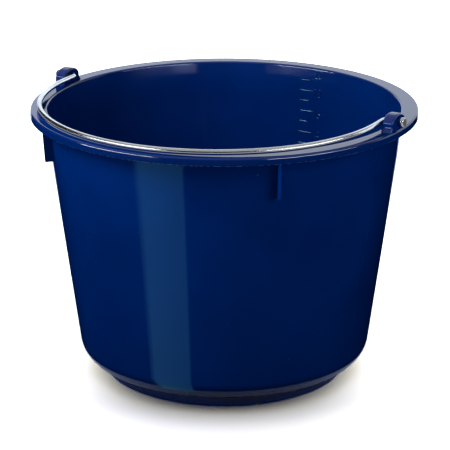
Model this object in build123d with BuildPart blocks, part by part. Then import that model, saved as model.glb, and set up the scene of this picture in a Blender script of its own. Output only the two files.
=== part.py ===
from build123d import *
from math import asin, atan2, cos, degrees, pi, radians, sin, tan
import os

# A builder's bucket: one plastic moulding, and the bent wire bail that hangs in its two ears.
# Millimetres. The origin is on the ground under the middle of the foot ring, with +Z up.
# The ears stand on the X axis, and the bail lies on the rim at -Y.

# Rim: a flat flange round the mouth, with a short skirt turned down from its edge
rim_diameter = 383.8  # at the top edge; the skirt makes it 385 at its lower edge
rim_height = 273.5
flange_width = 14.6  # from the outside of the wall to the edge of the rim
flange_thickness = 2.6
skirt_drop = 7.4
skirt_flare = 0.6  # how much further out the skirt is at its lower edge
skirt_thickness = 2.6
rim_edge_radius = 2.2
mouth_edge_radius = 2.2

# Wall: a taper from the base up to the collar, which is the steeper band under the rim
wall_thickness = 2.4
base_diameter = 287.5  # where the line of the wall meets the plane of the base
collar_height = 44.8
collar_taper = 4.4  # how much narrower the collar is at its lower end, on the radius

# Base: the floor stands on a ring, which has gaps that let water out from under it
floor_thickness = 4.0
foot_diameter = 241.6
foot_height = 11.3
foot_thickness = 3.0
foot_edge_radius = 1.0
foot_ledge = 1.05  # flat base between the ring and the wide rounding of the corner
notch_count = 4
notch_width = 5.0
notch_height = 2.0
notch_overrun = 3.0  # how far the cut for a notch reaches past the ring, on each side

# Fins: upright ribs under the rim, which keep stacked buckets from jamming together
fin_count = 4
fin_thickness = 3.2
fin_depth = 9.3  # from the wall to the fin's outer edge, at its lower end
fin_spread = 2.9  # how much further out the fin's edge is under the flange
first_fin_angle = 45.0  # from an ear to the next fin, and to the notch below it

# Ears: two arched lugs on the rim, each with an eye for the wire
ear_inset = 1.9  # from the edge of the rim to the ear's outer face
ear_thickness = 11.3
ear_cheek = 11.0  # plastic at each side of the eye
ear_crown = 4.2  # plastic over the eye
ear_side_height = 6.5  # where the arch springs from the ear's sides
ear_flare = 6.5  # how much wider the ear is at its root, at each side
ear_root = 0.6  # how deep the root is set into the flange
ear_edge_radius = 1.8
eye_rise = 7.5  # height of the eye's centre over the rim
eye_clearance = 0.75  # between the wire and the eye, on the radius

# Bail: round wire, bent tighter at the sides than across the front, with upset ends
wire_diameter = 5.5
leg_clearance = 0.95  # between the ear's inner face and the leg of the bail
bend_inner_radius = 1.75
bail_setback = 9.0  # from the edge of the rim to the middle of the wire, at the front
front_bow = 1.0  # how far behind the hinge line the front curve has its centre
front_half_angle = 45.0
rest_clearance = 0.3  # between the rim and the wire that lies on it
head_overhang = 1.0  # how far the head reaches past the edge of the eye
head_length = 4.4
head_clearance = 2.0  # between the ear's outer face and the head
head_chamfer = 1.3
head_edge_radius = 0.7

# Places that follow from these sizes
rim_radius = rim_diameter / 2
neck_radius = rim_radius - flange_width
collar_radius = neck_radius - collar_taper
base_radius = base_diameter / 2
foot_radius = foot_diameter / 2
flange_under = rim_height - flange_thickness
collar_bottom = rim_height - collar_height
floor_top = foot_height + floor_thickness
wall_lean = atan2(collar_radius - base_radius, collar_bottom - foot_height)
base_corner_radius = (base_radius - foot_radius - foot_ledge) / tan(pi / 4 - wall_lean / 2)
wire_radius = wire_diameter / 2
eye_radius = wire_radius + eye_clearance
pivot_height = rim_height + eye_rise
ear_outer_x = rim_radius - ear_inset
ear_inner_x = ear_outer_x - ear_thickness


def nearest_corner(sketch, point):
    """The corner of a sketch that lies closest to a point of its plane."""
    return sketch.vertices().sort_by_distance(point)[0]


# Shell: half its section, turned about the middle
with BuildPart() as bucket:
    with BuildSketch(Plane.XZ) as section:
        foot_inner = (foot_radius - foot_thickness, 0)
        foot_outer = (foot_radius, 0)
        base_corner = (base_radius, foot_height)
        rim_corner = (rim_radius, rim_height)
        mouth_corner = (neck_radius - wall_thickness, rim_height)
        floor_corner = (base_radius - wall_thickness, floor_top)
        with BuildLine():
            Polyline(
                foot_inner,
                foot_outer,
                (foot_radius, foot_height),
                base_corner,
                (collar_radius, collar_bottom),
                (neck_radius, flange_under),
                (rim_radius - skirt_thickness, flange_under),
                (rim_radius + skirt_flare - skirt_thickness, rim_height - skirt_drop),
                (rim_radius + skirt_flare, rim_height - skirt_drop),
                rim_corner,
                mouth_corner,
                (collar_radius - wall_thickness, collar_bottom),
                floor_corner,
                (0, floor_top),
                (0, foot_height),
                (foot_radius - foot_thickness, foot_height),
                close=True,
            )
        make_face()
        fillet(nearest_corner(section, base_corner), base_corner_radius)
        fillet(nearest_corner(section, floor_corner), base_corner_radius - wall_thickness)
        fillet(nearest_corner(section, rim_corner), rim_edge_radius)
        fillet(nearest_corner(section, mouth_corner), mouth_edge_radius)
        fillet([nearest_corner(section, foot_inner), nearest_corner(section, foot_outer)], foot_edge_radius)
    revolve(axis=Axis.Z)

# Fin: one upright rib, from inside the wall to its free edge
with BuildPart() as fin:
    fin_edge = collar_radius + fin_depth
    fin_seat = wall_thickness / 2
    with BuildSketch(Plane.XZ):
        with BuildLine():
            Polyline(
                (collar_radius - fin_seat, collar_bottom),
                (fin_edge, collar_bottom),
                (fin_edge + fin_spread, flange_under + flange_thickness / 2),
                (neck_radius - fin_seat, flange_under + flange_thickness / 2),
                close=True,
            )
        make_face()
    extrude(amount=fin_thickness / 2, both=True)

# Ear: an arch on short sides that flare into the flange, with rounded edges
with BuildPart() as ear:
    half_width = eye_radius + ear_cheek
    arch_height = eye_rise + eye_radius + ear_crown - ear_side_height
    root_height = rim_height - ear_root
    spring_height = rim_height + ear_side_height
    with BuildSketch(Plane.YZ.offset(ear_inner_x)):
        with BuildLine():
            EllipticalCenterArc((0, spring_height), half_width, arch_height, 0, arc_size=180)
            TangentArc((-half_width, spring_height), (-half_width - ear_flare, root_height), tangent=(0, -1))
            Line((-half_width - ear_flare, root_height), (half_width + ear_flare, root_height))
            TangentArc((half_width, spring_height), (half_width + ear_flare, root_height), tangent=(0, -1))
        make_face()
    extrude(amount=ear_thickness)
    outlines = ear.faces().filter_by(Axis.X).edges()
    fillet(outlines.filter_by(lambda edge: edge.center().Z > rim_height), ear_edge_radius)

# The moulding with its fins, ears, eyes and drain notches
with bucket:
    with PolarLocations(0, fin_count, start_angle=first_fin_angle):
        add(fin.part)
    add(ear.part)
    mirror(ear.part, about=Plane.YZ)
    with BuildSketch(Plane.YZ):
        with Locations((0, pivot_height)):
            Circle(eye_radius)
    extrude(amount=rim_radius, both=True, mode=Mode.SUBTRACT)
    with PolarLocations(foot_radius - foot_thickness / 2, notch_count, start_angle=first_fin_angle):
        Box(foot_thickness + 2 * notch_overrun, notch_width, 2 * notch_height, mode=Mode.SUBTRACT)

# Bail: drawn flat on a plane through the eyes that dips to the rim at the front
bail_reach = rim_radius - bail_setback
wire_rest_height = rim_height + wire_radius + rest_clearance
dip = degrees(asin((pivot_height - wire_rest_height) / bail_reach))
bail_plane = Plane((0, 0, pivot_height), x_dir=(1, 0, 0), z_dir=(0, -sin(radians(dip)), cos(radians(dip))))
leg_x = ear_inner_x - leg_clearance - wire_radius
bend_radius = bend_inner_radius + wire_radius
head_base = ear_outer_x + head_clearance
head_radius = eye_radius + head_overhang
front_radius = bail_reach + front_bow
front_sine = sin(radians(front_half_angle))
front_cosine = cos(radians(front_half_angle))
side_radius = (leg_x - front_radius * front_sine) / (1 - front_sine)
side_centre = (
    (front_radius - side_radius) * front_sine,
    front_bow - (front_radius - side_radius) * front_cosine,
)

# Head: the upset end of the wire, outside the ear
with BuildPart() as head:
    with BuildSketch(Plane.YZ.offset(head_base)):
        with Locations((0, pivot_height)):
            Circle(head_radius)
    extrude(amount=head_length)
    chamfer(head.faces().sort_by(Axis.X)[-1].edges(), head_chamfer)
    fillet(head.faces().sort_by(Axis.X)[0].edges(), head_edge_radius)

# The wire with its two heads
with BuildPart() as bail:
    with BuildLine(bail_plane) as centre_line:
        CenterArc((0, front_bow), front_radius, -90, front_half_angle)
        CenterArc(side_centre, side_radius, front_half_angle - 90, 90 - front_half_angle)
        Line((leg_x, side_centre[1]), (leg_x, -bend_radius))
        CenterArc((leg_x + bend_radius, -bend_radius), bend_radius, 180, -90)
        Line((leg_x + bend_radius, 0), (head_base, 0))
        mirror(about=Plane.YZ)
    wire_path = centre_line.wire()
    with BuildSketch(Plane(wire_path @ 0, z_dir=wire_path % 0)):
        Circle(wire_radius)
    sweep(path=wire_path)
    add(head.part)
    mirror(head.part, about=Plane.YZ)

os.makedirs("parts", exist_ok=True)
bucket.part.label = "bucket"
export_step(bucket.part, "parts/bucket.step")
bail.part.label = "bail"
export_step(bail.part, "parts/bail.step")
print("base corner radius", round(base_corner_radius, 2))
print("bail dips", round(dip, 3), "degrees at rest; hinge at height", round(pivot_height, 2))
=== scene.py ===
from math import asin, atan2, cos, pi, radians, sin, tan

import bmesh
import bpy
from mathutils import Matrix, Vector


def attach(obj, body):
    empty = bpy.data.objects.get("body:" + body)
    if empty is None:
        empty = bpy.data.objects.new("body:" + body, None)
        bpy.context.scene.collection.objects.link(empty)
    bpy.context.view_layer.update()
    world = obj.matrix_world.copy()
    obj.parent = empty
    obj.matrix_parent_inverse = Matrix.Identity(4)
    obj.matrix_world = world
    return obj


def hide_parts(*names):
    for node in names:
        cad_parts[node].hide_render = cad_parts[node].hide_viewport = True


# A builder's bucket in glossy blue plastic with a galvanised wire bail, on a white studio floor.
# Metres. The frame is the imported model's: +Z up from the ground under the foot ring, ears on X,
# the bail resting on the rim at -Y and the litre scale inside at +Y.

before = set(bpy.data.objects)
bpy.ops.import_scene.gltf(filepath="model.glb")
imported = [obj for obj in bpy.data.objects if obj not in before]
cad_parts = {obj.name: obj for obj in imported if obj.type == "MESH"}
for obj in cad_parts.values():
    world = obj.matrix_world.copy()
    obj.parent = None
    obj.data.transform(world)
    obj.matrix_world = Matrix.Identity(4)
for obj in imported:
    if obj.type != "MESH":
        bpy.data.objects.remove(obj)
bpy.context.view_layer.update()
scene = bpy.context.scene

MM = 0.001
LITRE = 0.001
SAME_POINT = 0.001 * MM  # vertices closer than this are one
SAME_LEVEL = 0.01 * MM  # heights or widths closer than this are equal

# Shell
rim_radius = 191.9 * MM
rim_height = 273.5 * MM
flange_width = 14.6 * MM
flange_thickness = 2.6 * MM
skirt_drop = 7.4 * MM
skirt_flare = 0.6 * MM
skirt_thickness = 2.6 * MM
rim_edge_radius = 2.2 * MM
mouth_edge_radius = 2.2 * MM
skirt_edge_radius = 0.5 * MM
skirt_root_radius = 0.6 * MM
neck_root_radius = 0.8 * MM
foot_root_radius = 0.8 * MM
wall_thickness = 2.4 * MM
base_radius = 143.75 * MM
collar_height = 44.8 * MM
collar_taper = 4.4 * MM
collar_blend = 6.0 * MM
mouth_flare_bottom = 252.0 * MM
mouth_flare_radius = 171.4 * MM
mouth_flare_blend = 210.0 * MM
collar_inner_radius = 170.2 * MM
collar_inner_blend = 250.0 * MM
floor_thickness = 4.0 * MM
base_corner_radius = 25.0 * MM
foot_radius = 120.8 * MM
foot_height = 11.3 * MM
foot_thickness = 3.0 * MM
foot_edge_radius = 1.0 * MM
notch_width = 5.0 * MM
notch_height = 2.0 * MM
neck_radius = rim_radius - flange_width
skirt_radius = rim_radius + skirt_flare
collar_radius = neck_radius - collar_taper
collar_bottom = rim_height - collar_height
flange_under = rim_height - flange_thickness
floor_top = foot_height + floor_thickness
turn_steps = 300  # faces round the shell

# Fins and ears
fin_thickness = 3.2 * MM
fin_depth = 9.3 * MM
fin_spread = 2.9 * MM
fin_edge_radius = 0.5 * MM
first_fin_angle = radians(45)
ear_inset = 1.9 * MM
ear_thickness = 11.3 * MM
ear_outer_x = rim_radius - ear_inset
ear_inner_x = ear_outer_x - ear_thickness
ear_half_width = 14.5 * MM
ear_side_height = 6.5 * MM
ear_arch_height = 8.7 * MM
ear_flare = 6.5 * MM
ear_root = 0.6 * MM
ear_edge_radius = 1.8 * MM
eye_radius = 3.5 * MM
eye_rise = 7.5 * MM
pivot_height = rim_height + eye_rise

# Bail
wire_radius = 2.75 * MM
bail_setback = 9.0 * MM
front_bow = 1.0 * MM
front_half_angle = radians(45)
leg_clearance = 0.95 * MM
bend_inner_radius = 1.75 * MM
rest_clearance = 0.3 * MM
head_clearance = 2.0 * MM
head_overhang = 1.0 * MM
head_length = 4.4 * MM
head_chamfer = 1.3 * MM
head_edge_radius = 0.7 * MM
bail_reach = rim_radius - bail_setback
front_radius = bail_reach + front_bow
leg_x = ear_inner_x - leg_clearance - wire_radius
side_radius = (leg_x - front_radius * sin(front_half_angle)) / (1 - sin(front_half_angle))
side_centre = Vector((
    (front_radius - side_radius) * sin(front_half_angle),
    front_bow - (front_radius - side_radius) * cos(front_half_angle),
    0,
))
bend_radius = bend_inner_radius + wire_radius
rest_height = rim_height + wire_radius + rest_clearance
bail_dip = asin((pivot_height - rest_height) / bail_reach)
head_base = ear_outer_x + head_clearance
head_radius = eye_radius + head_overhang

# Litre scale
first_litre = 5
last_litre = 20
mark_height = 0.6 * MM
mark_width = 1.3 * MM
mark_edge = 0.3 * MM
short_mark = 9.8 * MM
long_mark = 14.6 * MM
mark_start = -2.0 * MM  # the marks' left end, across the wall from the +Y line
number_size = 13.8 * MM
number_narrowing = 0.76
number_height = 0.45 * MM
number_edge = 0.35 * MM
number_gap = 0.1 * MM
number_drop = 6.0 * MM
highest_number = 262.0 * MM  # the foot of the number nearest the brim

# The photograph's camera: angles in degrees, sensor and lens in millimetres
camera_azimuth = 28.87
camera_distance = 2168.2 * MM
camera_height = 856.0 * MM
camera_pitch = 18.097
camera_yaw = 0.017
camera_sensor = 36
camera_lens = 180.81


# Shader nodes
def add_node(tree, kind, inputs, **settings):
    """A shader node with its settings, and its inputs set to values or linked to outputs."""
    node = tree.nodes.new("ShaderNode" + kind)
    for name, value in settings.items():
        setattr(node, name, value)
    for name, value in inputs.items():
        if isinstance(value, bpy.types.NodeSocket):
            tree.links.new(value, node.inputs[name])
        else:
            node.inputs[name].default_value = value
    return node


def mix_colours(tree, factor, first, second):
    """The first colour, changed to the second one by a factor."""
    node = add_node(tree, "Mix", {0: factor, 6: first, 7: second}, data_type="RGBA")
    return node.outputs[2]


def calculate(tree, operation, first, second=0.0, clamp=False):
    """The result of one step of arithmetic."""
    node = add_node(tree, "Math", {0: first, 1: second}, operation=operation, use_clamp=clamp)
    return node.outputs[0]


def ramp_between(tree, value, low, high, from_out=0.0, to_out=1.0):
    """A value that goes smoothly from one number to another between two limits."""
    limits = {"From Min": low, "From Max": high, "To Min": from_out, "To Max": to_out}
    node = add_node(tree, "MapRange", {"Value": value, **limits}, interpolation_type="SMOOTHSTEP")
    return node.outputs["Result"]


def noise(tree, place, scale, detail):
    """Cloudy noise round 0.5 at a place."""
    return add_node(tree, "TexNoise", {"Vector": place, "Scale": scale, "Detail": detail}).outputs[0]


def new_group(name, inputs, outputs):
    """An empty shader node group with named sockets, and its two ends."""
    group = bpy.data.node_groups.new(name, "ShaderNodeTree")
    for label, kind in inputs:
        group.interface.new_socket(label, in_out="INPUT", socket_type="NodeSocket" + kind)
    for label, kind in outputs:
        group.interface.new_socket(label, in_out="OUTPUT", socket_type="NodeSocket" + kind)
    start = group.nodes.new("NodeGroupInput")
    end = group.nodes.new("NodeGroupOutput")
    return group, start.outputs, end.inputs


def place_group(tree, group, inputs):
    """A node that uses a group, with its inputs set."""
    return add_node(tree, "Group", inputs, node_tree=group)


def drift_group():
    """Slow change over a surface, for its colour and gloss."""
    group, given, result = new_group(
        "slow_drift",
        [("Vector", "Vector"), ("Scale", "Float")],
        [("Value", "Float")],
    )
    cloud = noise(group, given["Vector"], given["Scale"], 3.0)
    group.links.new(ramp_between(group, cloud, 0.3, 0.7), result["Value"])
    return group


def speck_group():
    """Scattered specks: dust on plastic, pits in zinc."""
    group, given, result = new_group(
        "specks",
        [("Vector", "Vector"), ("Scale", "Float"), ("Size", "Float")],
        [("Mask", "Float")],
    )
    common = 0.7  # the share of cells that stay empty
    cells = add_node(group, "TexVoronoi", {"Vector": given["Vector"], "Scale": given["Scale"]})
    chance = add_node(group, "SeparateColor", {"Color": cells.outputs["Color"]})
    reach = calculate(group, "MULTIPLY", chance.outputs[0], given["Size"])
    inside = calculate(group, "LESS_THAN", cells.outputs["Distance"], reach)
    rare = calculate(group, "GREATER_THAN", chance.outputs[1], common)
    group.links.new(calculate(group, "MULTIPLY", inside, rare), result["Mask"])
    return group


def scuff_group():
    """Hairline marks that run along one direction of the given coordinates."""
    group, given, result = new_group(
        "scuffs",
        [("Vector", "Vector"), ("Scale", "Vector"), ("Cover", "Float")],
        [("Mask", "Float")],
    )
    full = 0.5  # from this value up, a mark is at its strongest
    factors = {0: given["Vector"], 1: given["Scale"]}
    stretched = add_node(group, "VectorMath", factors, operation="MULTIPLY").outputs[0]
    lines = noise(group, stretched, 1.0, 4.0)
    patch = noise(group, given["Vector"], 24.0, 1.0)
    kept = calculate(group, "MULTIPLY", lines, patch)
    limit = calculate(group, "SUBTRACT", full, given["Cover"])
    group.links.new(ramp_between(group, kept, limit, full), result["Mask"])
    return group


drift = drift_group()
specks = speck_group()
scuffs = scuff_group()


def new_material(name):
    """A material with only a shader in it, and its tree and shader."""
    material = bpy.data.materials.new(name)
    material.use_nodes = True
    tree = material.node_tree
    return material, tree, tree.nodes["Principled BSDF"]


def plastic_material():
    """Glossy blue plastic as moulded, with a painted shade that makes the skirt's face a deeper blue, and
    a pale dashed line along the skirt's lower edge that is moulding flash and a painted highlight of that
    edge.
    """
    deep_blue = (0.0, 0.0125, 0.100, 1)
    clear_blue = (0.0, 0.0185, 0.140, 1)
    shaded_skirt_blue = (0.0, 0.0110, 0.085, 1)
    flash_highlight_blue = (0.24, 0.30, 0.46, 1)
    dust_grey = (0.30, 0.34, 0.42, 1)
    dust_strength = 0.35
    skirt_depth = 1.2 * MM  # the skirt's painted shade and the line along its lower edge start this far inside the rim's edge
    edge_line_core = 0.1 * MM
    edge_line_reach = 0.4 * MM
    least_roughness = 0.07
    drift_roughness = 0.03
    mark_roughness = 0.06
    edge_line_roughness = 0.3
    material, tree, shader = new_material("moulded_blue")
    place = add_node(tree, "TexCoord", {}).outputs["Object"]
    axes = add_node(tree, "SeparateXYZ", {"Vector": place}).outputs
    flat = add_node(tree, "CombineXYZ", {"X": axes["X"], "Y": axes["Y"]})
    radius = add_node(tree, "VectorMath", {0: flat.outputs[0]}, operation="LENGTH").outputs["Value"]
    slow = place_group(tree, drift, {"Vector": place, "Scale": 7.0}).outputs["Value"]
    hairlines = {"Vector": place, "Scale": (260.0, 260.0, 1500.0), "Cover": 0.10}
    marks = place_group(tree, scuffs, hairlines).outputs["Mask"]
    grains = {"Vector": place, "Scale": 90.0, "Size": 0.045}
    dust = place_group(tree, specks, grains).outputs["Mask"]

    # The pale dashed line along the skirt's lower edge is moulding flash together with a painted
    # highlight of that edge
    over_edge = calculate(tree, "SUBTRACT", axes["Z"], rim_height - skirt_drop)
    off_edge = calculate(tree, "ABSOLUTE", over_edge)
    near_edge = ramp_between(tree, off_edge, edge_line_core, edge_line_reach, 1.0, 0.0)
    outside = calculate(tree, "GREATER_THAN", radius, rim_radius - skirt_depth)
    dashes = ramp_between(tree, noise(tree, place, 300.0, 3.0), 0.46, 0.56)
    flash_and_highlight = calculate(tree, "MULTIPLY", calculate(tree, "MULTIPLY", near_edge, outside), dashes)

    colour = mix_colours(tree, slow, deep_blue, clear_blue)
    # Painted shade: the skirt's face is made a deeper blue than the rest of the plastic
    colour = mix_colours(tree, outside, colour, shaded_skirt_blue)
    # Painted highlight: the line along the skirt's lower edge is made pale
    colour = mix_colours(tree, flash_and_highlight, colour, flash_highlight_blue)
    dusty = calculate(tree, "MULTIPLY", dust, dust_strength)
    tree.links.new(mix_colours(tree, dusty, colour, dust_grey), shader.inputs["Base Color"])

    rough = calculate(tree, "MULTIPLY", slow, drift_roughness)
    rough = calculate(tree, "ADD", rough, least_roughness)
    rough = calculate(tree, "ADD", rough, calculate(tree, "MULTIPLY", marks, mark_roughness))
    dull = calculate(tree, "MULTIPLY", flash_and_highlight, edge_line_roughness)
    rough = calculate(tree, "ADD", rough, dull, clamp=True)
    tree.links.new(rough, shader.inputs["Roughness"])

    peel = noise(tree, place, 160.0, 2.0)
    bump = add_node(tree, "Bump", {"Height": peel, "Strength": 0.05, "Distance": 0.2 * MM})
    tree.links.new(bump.outputs["Normal"], shader.inputs["Normal"])
    shader.inputs["IOR"].default_value = 1.46
    return material


def wire_material(wire_length):
    """Bright galvanised wire: drawing streaks along it, pits in the zinc and brown cut ends."""
    dull_zinc = (0.50, 0.53, 0.56, 1)
    bright_zinc = (0.80, 0.83, 0.86, 1)
    pit_grey = (0.30, 0.30, 0.31, 1)
    cut_brown = (0.16, 0.14, 0.12, 1)
    streak_share = 0.6
    drift_share = 0.4
    pit_strength = 0.5
    cut_start = 0.9 * MM  # from the end of the wire
    cut_full = 0.2 * MM
    least_roughness = 0.16
    dull_roughness = 0.16
    cut_roughness = 0.3
    material, tree, shader = new_material("drawn_zinc")
    drawn = add_node(tree, "Attribute", {}, attribute_name="drawn").outputs["Vector"]
    axes = add_node(tree, "SeparateXYZ", {"Vector": drawn}).outputs
    place = add_node(tree, "TexCoord", {}).outputs["Object"]
    drawing = {"Vector": drawn, "Scale": (5.0, 5.0, 9.0), "Cover": 0.30}
    streaks = place_group(tree, scuffs, drawing).outputs["Mask"]
    slow = place_group(tree, drift, {"Vector": place, "Scale": 45.0}).outputs["Value"]
    holes = {"Vector": place, "Scale": 500.0, "Size": 0.16}
    pits = place_group(tree, specks, holes).outputs["Mask"]
    cut = ramp_between(tree, axes["Z"], wire_length - cut_start, wire_length - cut_full)

    tone = calculate(tree, "MULTIPLY", streaks, streak_share)
    tone = calculate(tree, "ADD", tone, calculate(tree, "MULTIPLY", slow, drift_share))
    colour = mix_colours(tree, tone, bright_zinc, dull_zinc)
    colour = mix_colours(tree, calculate(tree, "MULTIPLY", pits, pit_strength), colour, pit_grey)
    tree.links.new(mix_colours(tree, cut, colour, cut_brown), shader.inputs["Base Color"])

    rough = calculate(tree, "MULTIPLY", tone, dull_roughness)
    rough = calculate(tree, "ADD", rough, least_roughness)
    rough = calculate(tree, "ADD", rough, calculate(tree, "MULTIPLY", cut, cut_roughness), clamp=True)
    tree.links.new(rough, shader.inputs["Roughness"])
    bump = add_node(tree, "Bump", {"Height": streaks, "Strength": 0.08, "Distance": 0.05 * MM})
    tree.links.new(bump.outputs["Normal"], shader.inputs["Normal"])
    shader.inputs["Metallic"].default_value = 1.0
    return material


# Pieces
def finish_piece(name, shape, material, body, smooth_below=40):
    """A piece from a bmesh: closed, faces outwards, smooth, riding on a body of the frame."""
    bmesh.ops.remove_doubles(shape, verts=shape.verts, dist=SAME_POINT)
    bmesh.ops.recalc_face_normals(shape, faces=shape.faces)
    mesh = bpy.data.meshes.new(name)
    shape.to_mesh(mesh)
    shape.free()
    mesh.materials.append(material)
    mesh.set_sharp_from_angle(angle=radians(smooth_below))
    piece = bpy.data.objects.new(name, mesh)
    scene.collection.objects.link(piece)
    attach(piece, body)
    return piece


def even_gloss(piece):
    """Lets large faces set the shading, so that small roundings don't bend their reflections."""
    level = piece.modifiers.new("even_gloss", "WEIGHTED_NORMAL")
    level.keep_sharp = True
    level.weight = 100


def shown_mesh(item):
    """A new mesh of what an object shows, with its modifiers or its text made real."""
    seen = item.evaluated_get(bpy.context.evaluated_depsgraph_get())
    return bpy.data.meshes.new_from_object(seen)


def whole(shape):
    """All that a bmesh holds, for operators that take its geometry."""
    return shape.verts[:] + shape.edges[:] + shape.faces[:]


def cut_away(piece, cutter_shape):
    """Cuts a bmesh's shape out of a piece."""
    mesh = bpy.data.meshes.new("cutter")
    bmesh.ops.recalc_face_normals(cutter_shape, faces=cutter_shape.faces)
    cutter_shape.to_mesh(mesh)
    cutter_shape.free()
    cutter = bpy.data.objects.new("cutter", mesh)
    scene.collection.objects.link(cutter)
    cut = piece.modifiers.new("cut", "BOOLEAN")
    cut.object = cutter
    cut.solver = "EXACT"
    mesh = shown_mesh(piece)
    piece.modifiers.clear()
    piece.data = mesh
    bpy.data.objects.remove(cutter)


def round_corner(shape, corner, radius, segments):
    """Rounds the corner where two edges of an outline meet."""
    ways = [(edge.other_vert(corner).co - corner.co).normalized() for edge in corner.link_edges]
    half_angle = ways[0].angle(ways[1]) / 2
    bmesh.ops.bevel(
        shape,
        geom=[corner],
        offset=radius / tan(half_angle),
        affect="VERTICES",
        segments=segments,
        profile=0.5,
        material=-1,
    )


def shell_piece(material):
    """The moulding's turned body: foot ring, floor, wall, collar and rim with its skirt."""
    shape = bmesh.new()
    # Each corner of the half section, with its rounding and the number of steps in it
    corners = [
        (foot_radius - foot_thickness, foot_height, foot_root_radius, 3),
        (foot_radius - foot_thickness, 0, foot_edge_radius, 4),
        (foot_radius, 0, foot_edge_radius, 4),
        (foot_radius, foot_height, foot_root_radius, 3),
        (base_radius, foot_height, base_corner_radius, 28),
        (collar_radius, collar_bottom, collar_blend, 4),
        (neck_radius, flange_under, neck_root_radius, 3),
        (rim_radius - skirt_thickness, flange_under, skirt_root_radius, 3),
        (skirt_radius - skirt_thickness, rim_height - skirt_drop, skirt_edge_radius, 3),
        (skirt_radius, rim_height - skirt_drop, skirt_edge_radius, 3),
        (rim_radius, rim_height, rim_edge_radius, 12),
        (neck_radius - wall_thickness, rim_height, mouth_edge_radius, 10),
        (mouth_flare_radius, mouth_flare_bottom, mouth_flare_blend, 12),
        (collar_inner_radius, collar_bottom, collar_inner_blend, 12),
        (base_radius - wall_thickness, floor_top, base_corner_radius - wall_thickness, 24),
    ]
    chain = [shape.verts.new((0, 0, foot_height))]
    chain += [shape.verts.new((out, 0, up)) for out, up, radius, segments in corners]
    chain.append(shape.verts.new((0, 0, floor_top)))
    for first, second in zip(chain, chain[1:]):
        shape.edges.new((first, second))
    for corner, (out, up, radius, segments) in zip(chain[1:-1], corners):
        round_corner(shape, corner, radius, segments)
    bmesh.ops.spin(
        shape,
        geom=shape.verts[:] + shape.edges[:],
        cent=(0, 0, 0),
        axis=(0, 0, 1),
        angle=2 * pi,
        steps=turn_steps,
        use_merge=True,
    )
    piece = finish_piece("bucket_shell", shape, material, "bucket")

    notches = bmesh.new()
    notch = bmesh.ops.create_cube(notches, size=1)["verts"]
    bmesh.ops.scale(notches, verts=notch, vec=(3 * foot_thickness, notch_width, 2 * notch_height))
    bmesh.ops.translate(notches, verts=notch, vec=(foot_radius - foot_thickness / 2, 0, 0))
    four_round(notches)
    cut_away(piece, notches)
    even_gloss(piece)
    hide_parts("bucket")
    return piece


def four_round(shape):
    """Repeats a shape that lies on +X at the four places between the ears."""
    turn = Matrix.Rotation(first_fin_angle, 3, "Z")
    bmesh.ops.rotate(shape, verts=shape.verts, cent=(0, 0, 0), matrix=turn)
    bmesh.ops.spin(
        shape,
        geom=whole(shape),
        cent=(0, 0, 0),
        axis=(0, 0, 1),
        angle=1.5 * pi,
        steps=3,
        use_duplicate=True,
    )


def fins_piece(material):
    """The four upright ribs under the rim, rounded along their free edges."""
    shape = bmesh.new()
    seat = wall_thickness / 2
    free_edge = collar_radius + fin_depth
    outline = [
        (collar_radius - seat, collar_bottom),
        (free_edge, collar_bottom),
        (free_edge + fin_spread, flange_under + flange_thickness / 2),
        (neck_radius - seat, flange_under + flange_thickness / 2),
    ]
    side = shape.faces.new([shape.verts.new((out, -fin_thickness / 2, up)) for out, up in outline])
    grown = bmesh.ops.extrude_face_region(shape, geom=[side])["geom"]
    far_side = [part for part in grown if isinstance(part, bmesh.types.BMVert)]
    bmesh.ops.translate(shape, verts=far_side, vec=(0, fin_thickness, 0))
    bmesh.ops.recalc_face_normals(shape, faces=shape.faces)
    free = [
        edge for edge in shape.edges
        if min(vert.co.x for vert in edge.verts) > collar_radius
        or max(vert.co.z for vert in edge.verts) < collar_bottom + seat
    ]
    bmesh.ops.bevel(
        shape,
        geom=free,
        offset=fin_edge_radius,
        affect="EDGES",
        segments=3,
        profile=0.5,
        material=-1,
    )
    four_round(shape)
    piece = finish_piece("rim_fins", shape, material, "bucket")
    even_gloss(piece)
    return piece


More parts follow.
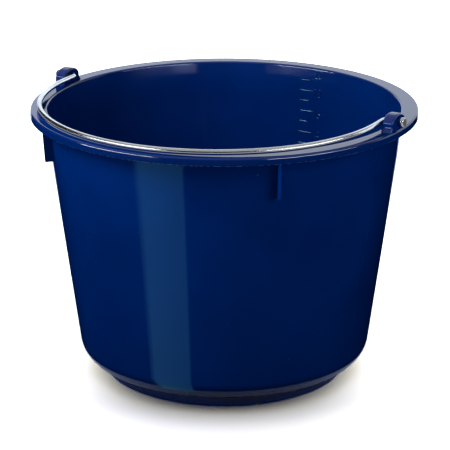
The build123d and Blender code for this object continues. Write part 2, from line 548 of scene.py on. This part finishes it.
def ears_piece(material):
    """The two arched lugs on the rim, each with the eye that the wire turns in."""
    shape = bmesh.new()
    spring_height = rim_height + ear_side_height
    upright = Matrix(((0, 0, 1), (1, 0, 0), (0, 1, 0))).to_4x4()
    bmesh.ops.create_circle(shape, cap_ends=True, segments=72, radius=1, matrix=upright)
    bmesh.ops.scale(shape, verts=shape.verts, vec=(1, ear_half_width, ear_arch_height))
    bmesh.ops.translate(shape, verts=shape.verts, vec=(ear_inner_x, 0, spring_height))
    bmesh.ops.bisect_plane(
        shape,
        geom=whole(shape),
        plane_co=(0, 0, spring_height),
        plane_no=(0, 0, -1),
        clear_outer=True,
    )
    foot = [
        edge for edge in shape.edges
        if max(vert.co.z for vert in edge.verts) < spring_height + SAME_LEVEL
    ]
    drop = ear_side_height + ear_root
    flare_radius = (ear_flare ** 2 + drop ** 2) / (2 * ear_flare)
    flare_steps = 10
    width = ear_half_width
    for step in range(flare_steps):
        fallen = drop * (step + 1) / flare_steps
        old_width = width
        width = ear_half_width + flare_radius - (flare_radius ** 2 - fallen ** 2) ** 0.5
        grown = bmesh.ops.extrude_edge_only(shape, edges=foot)["geom"]
        ends = [part for part in grown if isinstance(part, bmesh.types.BMVert)]
        foot = [part for part in grown if isinstance(part, bmesh.types.BMEdge)]
        bmesh.ops.translate(shape, verts=ends, vec=(0, 0, -drop / flare_steps))
        bmesh.ops.scale(shape, verts=ends, vec=(1, width / old_width, 1))
    bmesh.ops.dissolve_faces(shape, faces=shape.faces[:])
    grown = bmesh.ops.extrude_face_region(shape, geom=shape.faces[:])["geom"]
    far_side = [part for part in grown if isinstance(part, bmesh.types.BMVert)]
    bmesh.ops.translate(shape, verts=far_side, vec=(ear_thickness, 0, 0))
    bmesh.ops.recalc_face_normals(shape, faces=shape.faces)
    root_height = rim_height - ear_root
    outline = [
        edge for edge in shape.edges
        if abs(edge.verts[0].co.x - edge.verts[1].co.x) < SAME_LEVEL
        and max(vert.co.z for vert in edge.verts) > root_height + SAME_LEVEL
    ]
    bmesh.ops.bevel(
        shape,
        geom=outline,
        offset=ear_edge_radius,
        affect="EDGES",
        segments=6,
        profile=0.5,
        material=-1,
    )
    bmesh.ops.mirror(shape, geom=whole(shape), axis="X", merge_dist=SAME_POINT)
    piece = finish_piece("rim_ears", shape, material, "bucket")

    eyes = bmesh.new()
    across = Matrix.Translation((0, 0, pivot_height)) @ Matrix.Rotation(pi / 2, 4, "Y")
    bmesh.ops.create_cone(
        eyes,
        cap_ends=True,
        segments=48,
        radius1=eye_radius,
        radius2=eye_radius,
        depth=2 * rim_radius,
        matrix=across,
    )
    cut_away(piece, eyes)
    even_gloss(piece)
    return piece


# Litre scale
def inner_radius(height):
    """The radius of the wall's inner side at a height."""
    floor_end = (base_radius - wall_thickness, floor_top)
    collar_end = (collar_inner_radius, collar_bottom)
    flare_end = (mouth_flare_radius, mouth_flare_bottom)
    mouth_end = (neck_radius - wall_thickness, rim_height)
    if height < collar_bottom:
        low, high = floor_end, collar_end
    elif height < mouth_flare_bottom:
        low, high = collar_end, flare_end
    else:
        low, high = flare_end, mouth_end
    return low[0] + (high[0] - low[0]) * (height - low[1]) / (high[1] - low[1])


def litre_height(litres):
    """The height that a volume fills the bucket to, counted in thin layers from the floor up."""
    layer = 0.1 * MM
    rounding = base_corner_radius - wall_thickness
    height = floor_top
    left = litres * LITRE
    while left > 0:
        below_rounding = max(0, rounding - height + floor_top)
        lost = rounding - (rounding ** 2 - below_rounding ** 2) ** 0.5
        left -= pi * (inner_radius(height) - lost) ** 2 * layer
        height += layer
    return height


def wrap_on_wall(shape):
    """Bends marks, drawn flat across X and up Z, on to the inner side of the wall at +Y."""
    for vert in shape.verts:
        radius = inner_radius(vert.co.z)
        turn = vert.co.x / radius
        out = radius + vert.co.y
        vert.co.x = out * sin(turn)
        vert.co.y = out * cos(turn)


def add_mark(shape, height, length):
    """One raised line of the scale, with its lower edge at a height."""
    bar = bmesh.ops.create_cube(shape, size=1)["verts"]
    bmesh.ops.scale(shape, verts=bar, vec=(length, 2 * mark_height, mark_width))
    bmesh.ops.translate(shape, verts=bar, vec=(mark_start + length / 2, 0, height + mark_width / 2))
    edges = {edge for vert in bar for edge in vert.link_edges}
    inner = [edge for edge in edges if all(vert.co.y < 0 for vert in edge.verts)]
    bmesh.ops.bevel(
        shape,
        geom=inner,
        offset=mark_edge,
        affect="EDGES",
        segments=2,
        profile=0.5,
        material=-1,
    )


def add_number(shape, text, height, start):
    """A raised number of the scale, in a plain face."""
    letters = bpy.data.curves.new("number", "FONT")
    letters.body = text
    letters.size = number_size
    letters.extrude = number_height - number_edge
    letters.bevel_depth = number_edge
    letters.offset = -number_edge
    letters.bevel_resolution = 1
    letters.resolution_u = 4
    drawn = bpy.data.objects.new("number", letters)
    scene.collection.objects.link(drawn)
    bpy.context.view_layer.update()
    mesh = shown_mesh(drawn)
    bpy.data.objects.remove(drawn)
    base = min(height - number_drop, highest_number)
    upright = Matrix.Translation((start, 0, base)) @ Matrix.Rotation(pi / 2, 4, "X")
    mesh.transform(upright @ Matrix.Diagonal((number_narrowing, 1, 1, 1)))
    shape.from_mesh(mesh)
    bpy.data.meshes.remove(mesh)


def scale_piece(material):
    """The litre scale inside: a mark at each litre, longer and numbered at each second one."""
    shape = bmesh.new()
    for litre in range(first_litre, last_litre):
        add_mark(shape, litre_height(litre), short_mark if litre % 2 else long_mark)
    rows = [
        edge for edge in shape.edges
        if abs(edge.verts[0].co.x - edge.verts[1].co.x) > short_mark / 2
    ]
    bmesh.ops.subdivide_edges(shape, edges=rows, cuts=6, use_grid_fill=True)
    number_start = mark_start + long_mark + number_gap
    for litre in range(first_litre, last_litre + 1):
        if litre % 2 == 0:
            add_number(shape, str(litre), litre_height(litre), number_start)
    wrap_on_wall(shape)
    return finish_piece("litre_scale", shape, material, "bucket", smooth_below=30)


# Bail
def along_wire(spot):
    """How far a point of the bail's right half is from its middle, along the wire."""
    front_turn = atan2(spot.x, front_bow - spot.y)
    if front_turn < front_half_angle and spot.y < 0:
        return front_radius * front_turn
    front_length = front_radius * front_half_angle
    if spot.y < side_centre.y:
        side_turn = atan2(spot.x - side_centre.x, side_centre.y - spot.y)
        return front_length + side_radius * (side_turn - front_half_angle)
    side_length = front_length + side_radius * (pi / 2 - front_half_angle)
    if spot.x < leg_x + bend_radius:
        return side_length + spot.y - side_centre.y
    return side_length - side_centre.y + spot.x - leg_x


wire_length = along_wire(Vector((head_base + head_length, 0, 0)))


def bail_piece(material):
    """The wire bail: bowed front, tighter sides, legs bent out through the eyes and upset heads."""
    shape = bmesh.new()
    drawn = shape.verts.layers.float_vector.new("drawn")
    ring_sides = 32
    front_steps = 48
    side_steps = 72
    corner_steps = 16
    twist = 6.0  # turns the drawing streaks round the wire, in radians per metre
    front = Matrix.Translation((0, -bail_reach, 0)) @ Matrix.Rotation(pi / 2, 4, "Y")
    bmesh.ops.create_circle(shape, segments=ring_sides, radius=wire_radius, matrix=front)
    for vert in shape.verts:
        vert[drawn] = ((vert.co.y + bail_reach) / wire_radius, vert.co.z / wire_radius, 0)

    def bend(edges, centre, angle, steps):
        """Carries the open end round a centre and returns the new end."""
        verts = {vert for edge in edges for vert in edge.verts}
        made = bmesh.ops.spin(
            shape, geom=list(verts) + edges, cent=centre, axis=(0, 0, 1), angle=angle, steps=steps
        )["geom_last"]
        return [part for part in made if isinstance(part, bmesh.types.BMEdge)]

    def lengthen(edges, move, wider=1.0):
        """Carries the open end straight on, wider or narrower, and returns the new end."""
        made = bmesh.ops.extrude_edge_only(shape, edges=edges)["geom"]
        verts = [part for part in made if isinstance(part, bmesh.types.BMVert)]
        bmesh.ops.translate(shape, verts=verts, vec=move)
        middle = Matrix.Translation(-sum((vert.co for vert in verts), Vector()) / len(verts))
        bmesh.ops.scale(shape, verts=verts, vec=(1, wider, wider), space=middle)
        return [part for part in made if isinstance(part, bmesh.types.BMEdge)]

    end = shape.edges[:]
    end = bend(end, (0, front_bow, 0), front_half_angle, front_steps)
    end = bend(end, side_centre, pi / 2 - front_half_angle, side_steps)
    end = lengthen(end, (0, -bend_radius - side_centre.y, 0))
    end = bend(end, (leg_x + bend_radius, -bend_radius, 0), -pi / 2, corner_steps)
    end = lengthen(end, (head_base - leg_x - bend_radius, 0, 0))
    # The head, as steps along the wire and the radius at the end of each
    edge_step = 0.3 * head_edge_radius
    radius = wire_radius
    for step, next_radius in (
        (0, head_radius - head_edge_radius),
        (edge_step, head_radius - edge_step),
        (head_edge_radius - edge_step, head_radius),
        (head_length - head_chamfer - head_edge_radius, head_radius),
        (head_chamfer, head_radius - head_chamfer),
    ):
        end = lengthen(end, (step, 0, 0), next_radius / radius)
        radius = next_radius
    bmesh.ops.contextual_create(shape, geom=end)
    for vert in shape.verts:
        side, up, start = vert[drawn]
        along = along_wire(vert.co)
        turn = atan2(up, side) + twist * along
        vert[drawn] = (cos(turn), sin(turn), along)
    bmesh.ops.mirror(shape, geom=whole(shape), axis="X", merge_dist=SAME_POINT)
    hung = Matrix.Translation((0, 0, pivot_height)) @ Matrix.Rotation(bail_dip, 4, "X")
    bmesh.ops.transform(shape, matrix=hung, verts=shape.verts)
    piece = finish_piece("wire_bail", shape, material, "bail", smooth_below=50)
    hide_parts("bail")
    return piece


blue_plastic = plastic_material()
galvanised_wire = wire_material(wire_length)
shell = shell_piece(blue_plastic)
fins = fins_piece(blue_plastic)
ears = ears_piece(blue_plastic)
scale = scale_piece(blue_plastic)
bail = bail_piece(galvanised_wire)


# Studio
def lit_group(name, pieces):
    """A named set of pieces that a lamp or a card can be kept to."""
    group = bpy.data.collections.new(name)
    for piece in pieces:
        group.objects.link(piece)
    return group


lit_pieces = lit_group("lit_pieces", (shell, fins, ears, scale, bail))
all_but_ribs = lit_group("all_but_ribs", (shell, ears, scale, bail))
moulding = lit_group("moulding", (shell, fins))
ribs = lit_group("ribs", (fins,))
fittings = lit_group("fittings", (ears, bail))
litre_scale = lit_group("litre_scale", (scale,))
wire = lit_group("wire", (bail,))

# Tints of the lamps and cards
plain_white = (1, 1, 1, 1)
strip_tint = (0.14, 0.58, 1.0, 1)
cool_white = (0.83, 0.90, 1.0, 1)
pale_blue = (0.40, 0.78, 1.0, 1)
flag_black = (0.02, 0.02, 0.02, 1)

# Places of the cards, in metres. To a piece outside its set a card looks black and hides what is
# behind it, so the lamps for different pieces stand at different heights.
card_distance = 1.2
panel_heights = (0.28, 0.44)
panel_fade = (0.30, 0.40)
lamp_heights = (0.44, 0.58)
wire_lamp_heights = (0.58, 0.80)
scale_lamp_heights = (0.80, 1.25)
room_distance = 2.4
room_height = 2.2
low_panel_distance = 2.3
low_panel_heights = (0.0, 0.15)
back_panel_distance = 2.1
back_panel_heights = (0.2, 1.6)
flag_distance = 0.65
flag_heights = (0.0, 0.5)
table_start = 0.15
table_level = 0.3 * MM
strip_level = 0.6 * MM
strip_length = 0.6
floor_level = -0.2 * MM
floor_reach = 6.0
world_strength = 0.23


def direction(azimuth, elevation):
    """The way to a place round the bucket; azimuth is counted from the camera, to its right."""
    turn = radians(camera_azimuth + azimuth)
    rise = radians(elevation)
    return Vector((sin(turn) * cos(rise), -cos(turn) * cos(rise), sin(rise)))


def softbox(name, azimuth, elevation, distance, width, height, radiance, pieces=lit_pieces):
    """A rectangular lamp that faces the bucket, of a given brightness, and isn't seen in gloss."""
    lamp = bpy.data.lights.new(name, "AREA")
    lamp.shape = "RECTANGLE"
    lamp.size = width
    lamp.size_y = height
    lamp.energy = radiance * pi * width * height
    aim = direction(azimuth, elevation)
    place = bpy.data.objects.new(name, lamp)
    place.location = Vector((0, 0, rim_height / 2)) + distance * aim
    place.rotation_euler = aim.to_track_quat("Z", "Y").to_euler()
    place.visible_camera = False
    place.visible_glossy = False
    place.light_linking.receiver_collection = pieces
    scene.collection.objects.link(place)


def seen_directly(tree):
    """1 for what is seen straight, in gloss or through glass, and 0 for light that falls on things."""
    path = add_node(tree, "LightPath", {}).outputs
    straight = calculate(tree, "ADD", path["Is Camera Ray"], path["Is Glossy Ray"])
    return calculate(tree, "ADD", straight, path["Is Transmission Ray"], clamp=True)


def stage_material(name):
    """An empty material for a part of the studio, and its tree."""
    material, tree, shader = new_material(name)
    tree.nodes.remove(shader)
    return material, tree


def set_surface(tree, kind, inputs):
    """Gives a material the one shader that it shows."""
    surface = add_node(tree, kind, inputs)
    tree.links.new(surface.outputs[0], tree.nodes["Material Output"].inputs["Surface"])


def stage_piece(name, shape, material):
    """A part of the studio, which isn't part of the object."""
    mesh = bpy.data.meshes.new(name)
    shape.to_mesh(mesh)
    shape.free()
    mesh.materials.append(material)
    piece = bpy.data.objects.new(name, mesh)
    scene.collection.objects.link(piece)
    return piece


def floor_stage():
    """A floor that shows white with the bucket's shadow on it, deepened and tinted near the foot with
    painted shadow, and throws little light back up.
    """
    open_white = (9.3, 9.2, 8.7, 1)
    # The next three colours are painted: shadow near the foot, a warmer shadow right at the foot, and
    # shade for the floor as seen in reflections
    painted_shadow_white = (7.3, 7.2, 6.8, 1)
    painted_contact_white = (7.4, 7.0, 5.0, 1)
    shaded_gloss_white = (2.9, 3.3, 4.6, 1)
    bounce_grey = (0.15, 0.15, 0.15, 1)
    contact_start, contact_end = 0.12, 0.15  # metres from the middle
    near_start, near_end = 0.135, 0.19
    side_facing, front_facing = 0.35, 0.95  # cosines of the angle from the camera's side
    side_change, front_change = 0.35, -0.18  # how much lighter the painted shadow is at these angles
    material, tree = stage_material("white_floor")
    place = add_node(tree, "TexCoord", {}).outputs["Object"]
    radius = add_node(tree, "VectorMath", {0: place}, operation="LENGTH").outputs["Value"]
    # Painted shadow: the floor's colour is darker near the foot, and warmer closest to it, where it
    # cancels the blue light that the bucket throws on the floor
    apart = ramp_between(tree, radius, near_start, near_end)
    close = ramp_between(tree, radius, contact_start, contact_end, 1.0, 0.0)
    white = mix_colours(tree, apart, painted_shadow_white, open_white)
    white = mix_colours(tree, close, white, painted_contact_white)

    # Painted shadow: the floor's colour is darker towards the camera than at the sides
    factors = {0: place, 1: direction(0, 0)}
    ahead = add_node(tree, "VectorMath", factors, operation="DOT_PRODUCT").outputs["Value"]
    facing = calculate(tree, "DIVIDE", ahead, radius)
    change = ramp_between(tree, facing, side_facing, front_facing, side_change, front_change)
    change = calculate(tree, "MULTIPLY", change, calculate(tree, "SUBTRACT", 1.0, apart))
    shade = calculate(tree, "ADD", change, 1.0)
    white = add_node(tree, "VectorMath", {0: white, "Scale": shade}, operation="SCALE").outputs[0]

    shown = mix_colours(tree, seen_directly(tree), bounce_grey, white)
    # Painted shade: in reflections the floor shows a dimmer, bluer colour than the camera sees
    in_gloss = add_node(tree, "LightPath", {}).outputs["Is Glossy Ray"]
    shown = mix_colours(tree, in_gloss, shown, shaded_gloss_white)
    set_surface(tree, "BsdfDiffuse", {"Color": shown})
    shape = level_shape(floor_level, floor_reach, 96)
    stage_piece("floor", shape, material)


def gloss_card(name, shape, brightness, tint=plain_white, pieces=lit_pieces, fade=None):
    """A card out of the picture that only the gloss of the given pieces shows.

    It shows in a first reflection and not in reflections of reflections. A fade is the two heights
    between which it comes up from black to its full brightness.
    """
    first_bounce = 1.5
    material, tree = stage_material(name)
    bounces = add_node(tree, "LightPath", {}).outputs["Ray Depth"]
    shows = calculate(tree, "LESS_THAN", bounces, first_bounce)
    strength = calculate(tree, "MULTIPLY", shows, brightness)
    if fade:
        place = add_node(tree, "TexCoord", {}).outputs["Object"]
        height = add_node(tree, "SeparateXYZ", {"Vector": place}).outputs["Z"]
        strength = calculate(tree, "MULTIPLY", strength, ramp_between(tree, height, *fade))
    set_surface(tree, "Emission", {"Color": tint, "Strength": strength})
    card = stage_piece(name, shape, material)
    card.visible_camera = False
    card.visible_diffuse = False
    card.visible_shadow = False
    card.visible_transmission = False
    card.light_linking.receiver_collection = pieces


def round_sheet(start, stop, ends, steps):
    """A sheet that a line, given as two (radius, height) ends, sweeps from one azimuth to another."""
    shape = bmesh.new()
    way = direction(start, 0)
    line = [shape.verts.new(way * radius + Vector((0, 0, height))) for radius, height in ends]
    edge = shape.edges.new(line)
    bmesh.ops.spin(
        shape,
        geom=line + [edge],
        cent=(0, 0, 0),
        axis=(0, 0, 1),
        angle=radians(stop - start),
        steps=steps,
    )
    return shape


def wall_shape(start, stop, distance, heights):
    """An upright sheet round the bucket, from one azimuth to another and between two heights."""
    low, high = heights
    return round_sheet(start, stop, ((distance, low), (distance, high)), 32)


def level_shape(height, reach, segments):
    """A level, round sheet over or under the bucket."""
    shape = bmesh.new()
    bmesh.ops.create_circle(shape, cap_ends=True, segments=segments, radius=reach)
    bmesh.ops.translate(shape, verts=shape.verts, vec=(0, 0, height))
    return shape


def panel_card(name, start, stop, brightness):
    """An upright card just over the rim's height, dimmer towards its foot."""
    shape = wall_shape(start, stop, card_distance, panel_heights)
    gloss_card(name, shape, brightness, cool_white, fade=panel_fade)


def lamp_card(name, start, stop, heights, brightness, tint, pieces):
    """An upright card that gives the bright highlights of the given pieces."""
    shape = wall_shape(start, stop, card_distance, heights)
    gloss_card(name, shape, brightness, tint, pieces)


def strip_card(name, start, stop, brightness):
    """A card on the floor that the wall shows as an upright band between two of its azimuths."""
    shape = bmesh.new()
    corners = []
    for turn, out in ((start, 0.0), (stop, 0.0), (stop, strip_length), (start, strip_length)):
        near_wall = direction(turn, 0) * base_radius
        away = direction(2 * turn, 0) * out
        corners.append(near_wall + away + Vector((0, 0, strip_level)))
    shape.faces.new([shape.verts.new(corner) for corner in corners])
    gloss_card(name, shape, brightness, strip_tint)


def black_flag(name, shape):
    """A black sheet out of the picture, which takes light away from its side."""
    material, tree = stage_material(name)
    set_surface(tree, "BsdfDiffuse", {"Color": flag_black})
    flag = stage_piece(name, shape, material)
    flag.visible_camera = False
    flag.visible_glossy = False


def world_light():
    """Even light from all round, and white where it is seen."""
    world = bpy.data.worlds.new("studio")
    scene.world = world
    world.use_nodes = True
    tree = world.node_tree
    strength = ramp_between(tree, seen_directly(tree), 0.0, 1.0, world_strength, 1.0)
    tree.links.new(strength, tree.nodes["Background"].inputs["Strength"])
    tree.nodes["Background"].inputs["Color"].default_value = plain_white


def photo_camera():
    """The camera at the photograph's place and lens."""
    lens = bpy.data.cameras.new("camera")
    lens.sensor_width = camera_sensor
    lens.lens = camera_lens
    camera = bpy.data.objects.new("camera", lens)
    turn = radians(camera_azimuth)
    camera.location = (camera_distance * sin(turn), -camera_distance * cos(turn), camera_height)
    camera.rotation_euler = (radians(90 - camera_pitch), 0, turn - radians(camera_yaw))
    scene.collection.objects.link(camera)
    scene.camera = camera


# The studio's calls give azimuths in degrees from the camera, to its right, then the brightness
floor_stage()
world_light()

# The plastic shows a black table with one lit band on it, and the wire shows a grey table
table = round_sheet(-150, 150, ((table_start, table_level), (room_distance, table_level)), 64)
gloss_card("dark_table", table, 0.5, pieces=wire)
strip_card("strip_edge", -30, -28.6, 0.5)
strip_card("strip_bright", -28.6, -24.5, 1.05)
strip_card("strip_middle", -24.5, -20.5, 1.0)
strip_card("strip_fading", -20.5, -16.8, 0.92)
strip_card("strip_end", -16.8, -13.2, 0.84)

# The room, from the camera's side round to both sides, with panels that the mouth and the rim show
gloss_card("dark_room", wall_shape(-150, 150, room_distance, (0.0, room_height)), 0.02)
gloss_card("ceiling", level_shape(room_height, room_distance, 64), 0.45)
gloss_card("left_low_panel", wall_shape(-84, -58, low_panel_distance, low_panel_heights), 0.35)
gloss_card("left_low_panel_end", wall_shape(-58, -36, low_panel_distance, low_panel_heights), 0.7)
gloss_card("back_panel", wall_shape(95, 205, back_panel_distance, back_panel_heights), 1.3, cool_white)
panel_card("left_panel", -84, -62, 1.0)
panel_card("left_panel_middle", -62, -42, 1.7)
panel_card("left_panel_end", -42, -30, 0.65)
panel_card("right_panel", 20, 37, 1.55)
panel_card("right_panel_gap", 37, 44, 0.35)
panel_card("right_panel_end", 44, 66, 0.9)

# Highlights along the rim, on the wire and ears, and on the litre scale
lamp_card("left_lamp", -84, -38, lamp_heights, 52, cool_white, moulding)
lamp_card("right_lamp", 23.5, 60, lamp_heights, 44, cool_white, moulding)
lamp_card("right_lamp_end", 60, 76, lamp_heights, 18, cool_white, moulding)
lamp_card("left_wire_lamp", -84, -38, wire_lamp_heights, 6.5, plain_white, fittings)
lamp_card("right_wire_lamp", 23.5, 76, wire_lamp_heights, 6.0, plain_white, fittings)
lamp_card("scale_lamp", -130, 0, scale_lamp_heights, 32, pale_blue, litre_scale)

# Light that falls on the pieces: azimuth, elevation, distance, width, height and brightness.
# The fins have lamps of their own, which leave their left sides dark. The last lamp lights the floor too.
black_flag("front_flag", wall_shape(-55, 55, flag_distance, flag_heights))
softbox("left_low_softbox", -56, 8, 0.6, 0.4, 0.3, 1.6, all_but_ribs)
softbox("left_near_softbox", -78, 32, 0.5, 0.35, 0.25, 1.7, all_but_ribs)
softbox("left_high_softbox", -75, 45, 1.0, 0.8, 0.5, 2.1, all_but_ribs)
softbox("left_front_softbox", -50, 42, 0.9, 0.5, 0.4, 7.2, all_but_ribs)
softbox("rib_softbox", 42, 18, 0.6, 0.3, 0.25, 6.3, ribs)
softbox("rib_front_softbox", -8, 10, 0.6, 0.3, 0.25, 2.1, ribs)
softbox("right_front_softbox", 40, 30, 0.6, 0.3, 0.25, 3.2)
softbox("right_low_softbox", 55, 14, 0.5, 0.4, 0.12, 2.7)
softbox("front_softbox", -5, 14, 0.55, 0.4, 0.12, 2.1)
softbox("back_left_softbox", -158, 14, 0.7, 0.5, 0.4, 2.2)
softbox("back_right_softbox", 158, 14, 0.7, 0.5, 0.4, 2.2)
softbox("back_softbox", 180, 18, 2.2, 3.4, 1.2, 0.3, None)

photo_camera()
scene.view_settings.view_transform = "Standard"
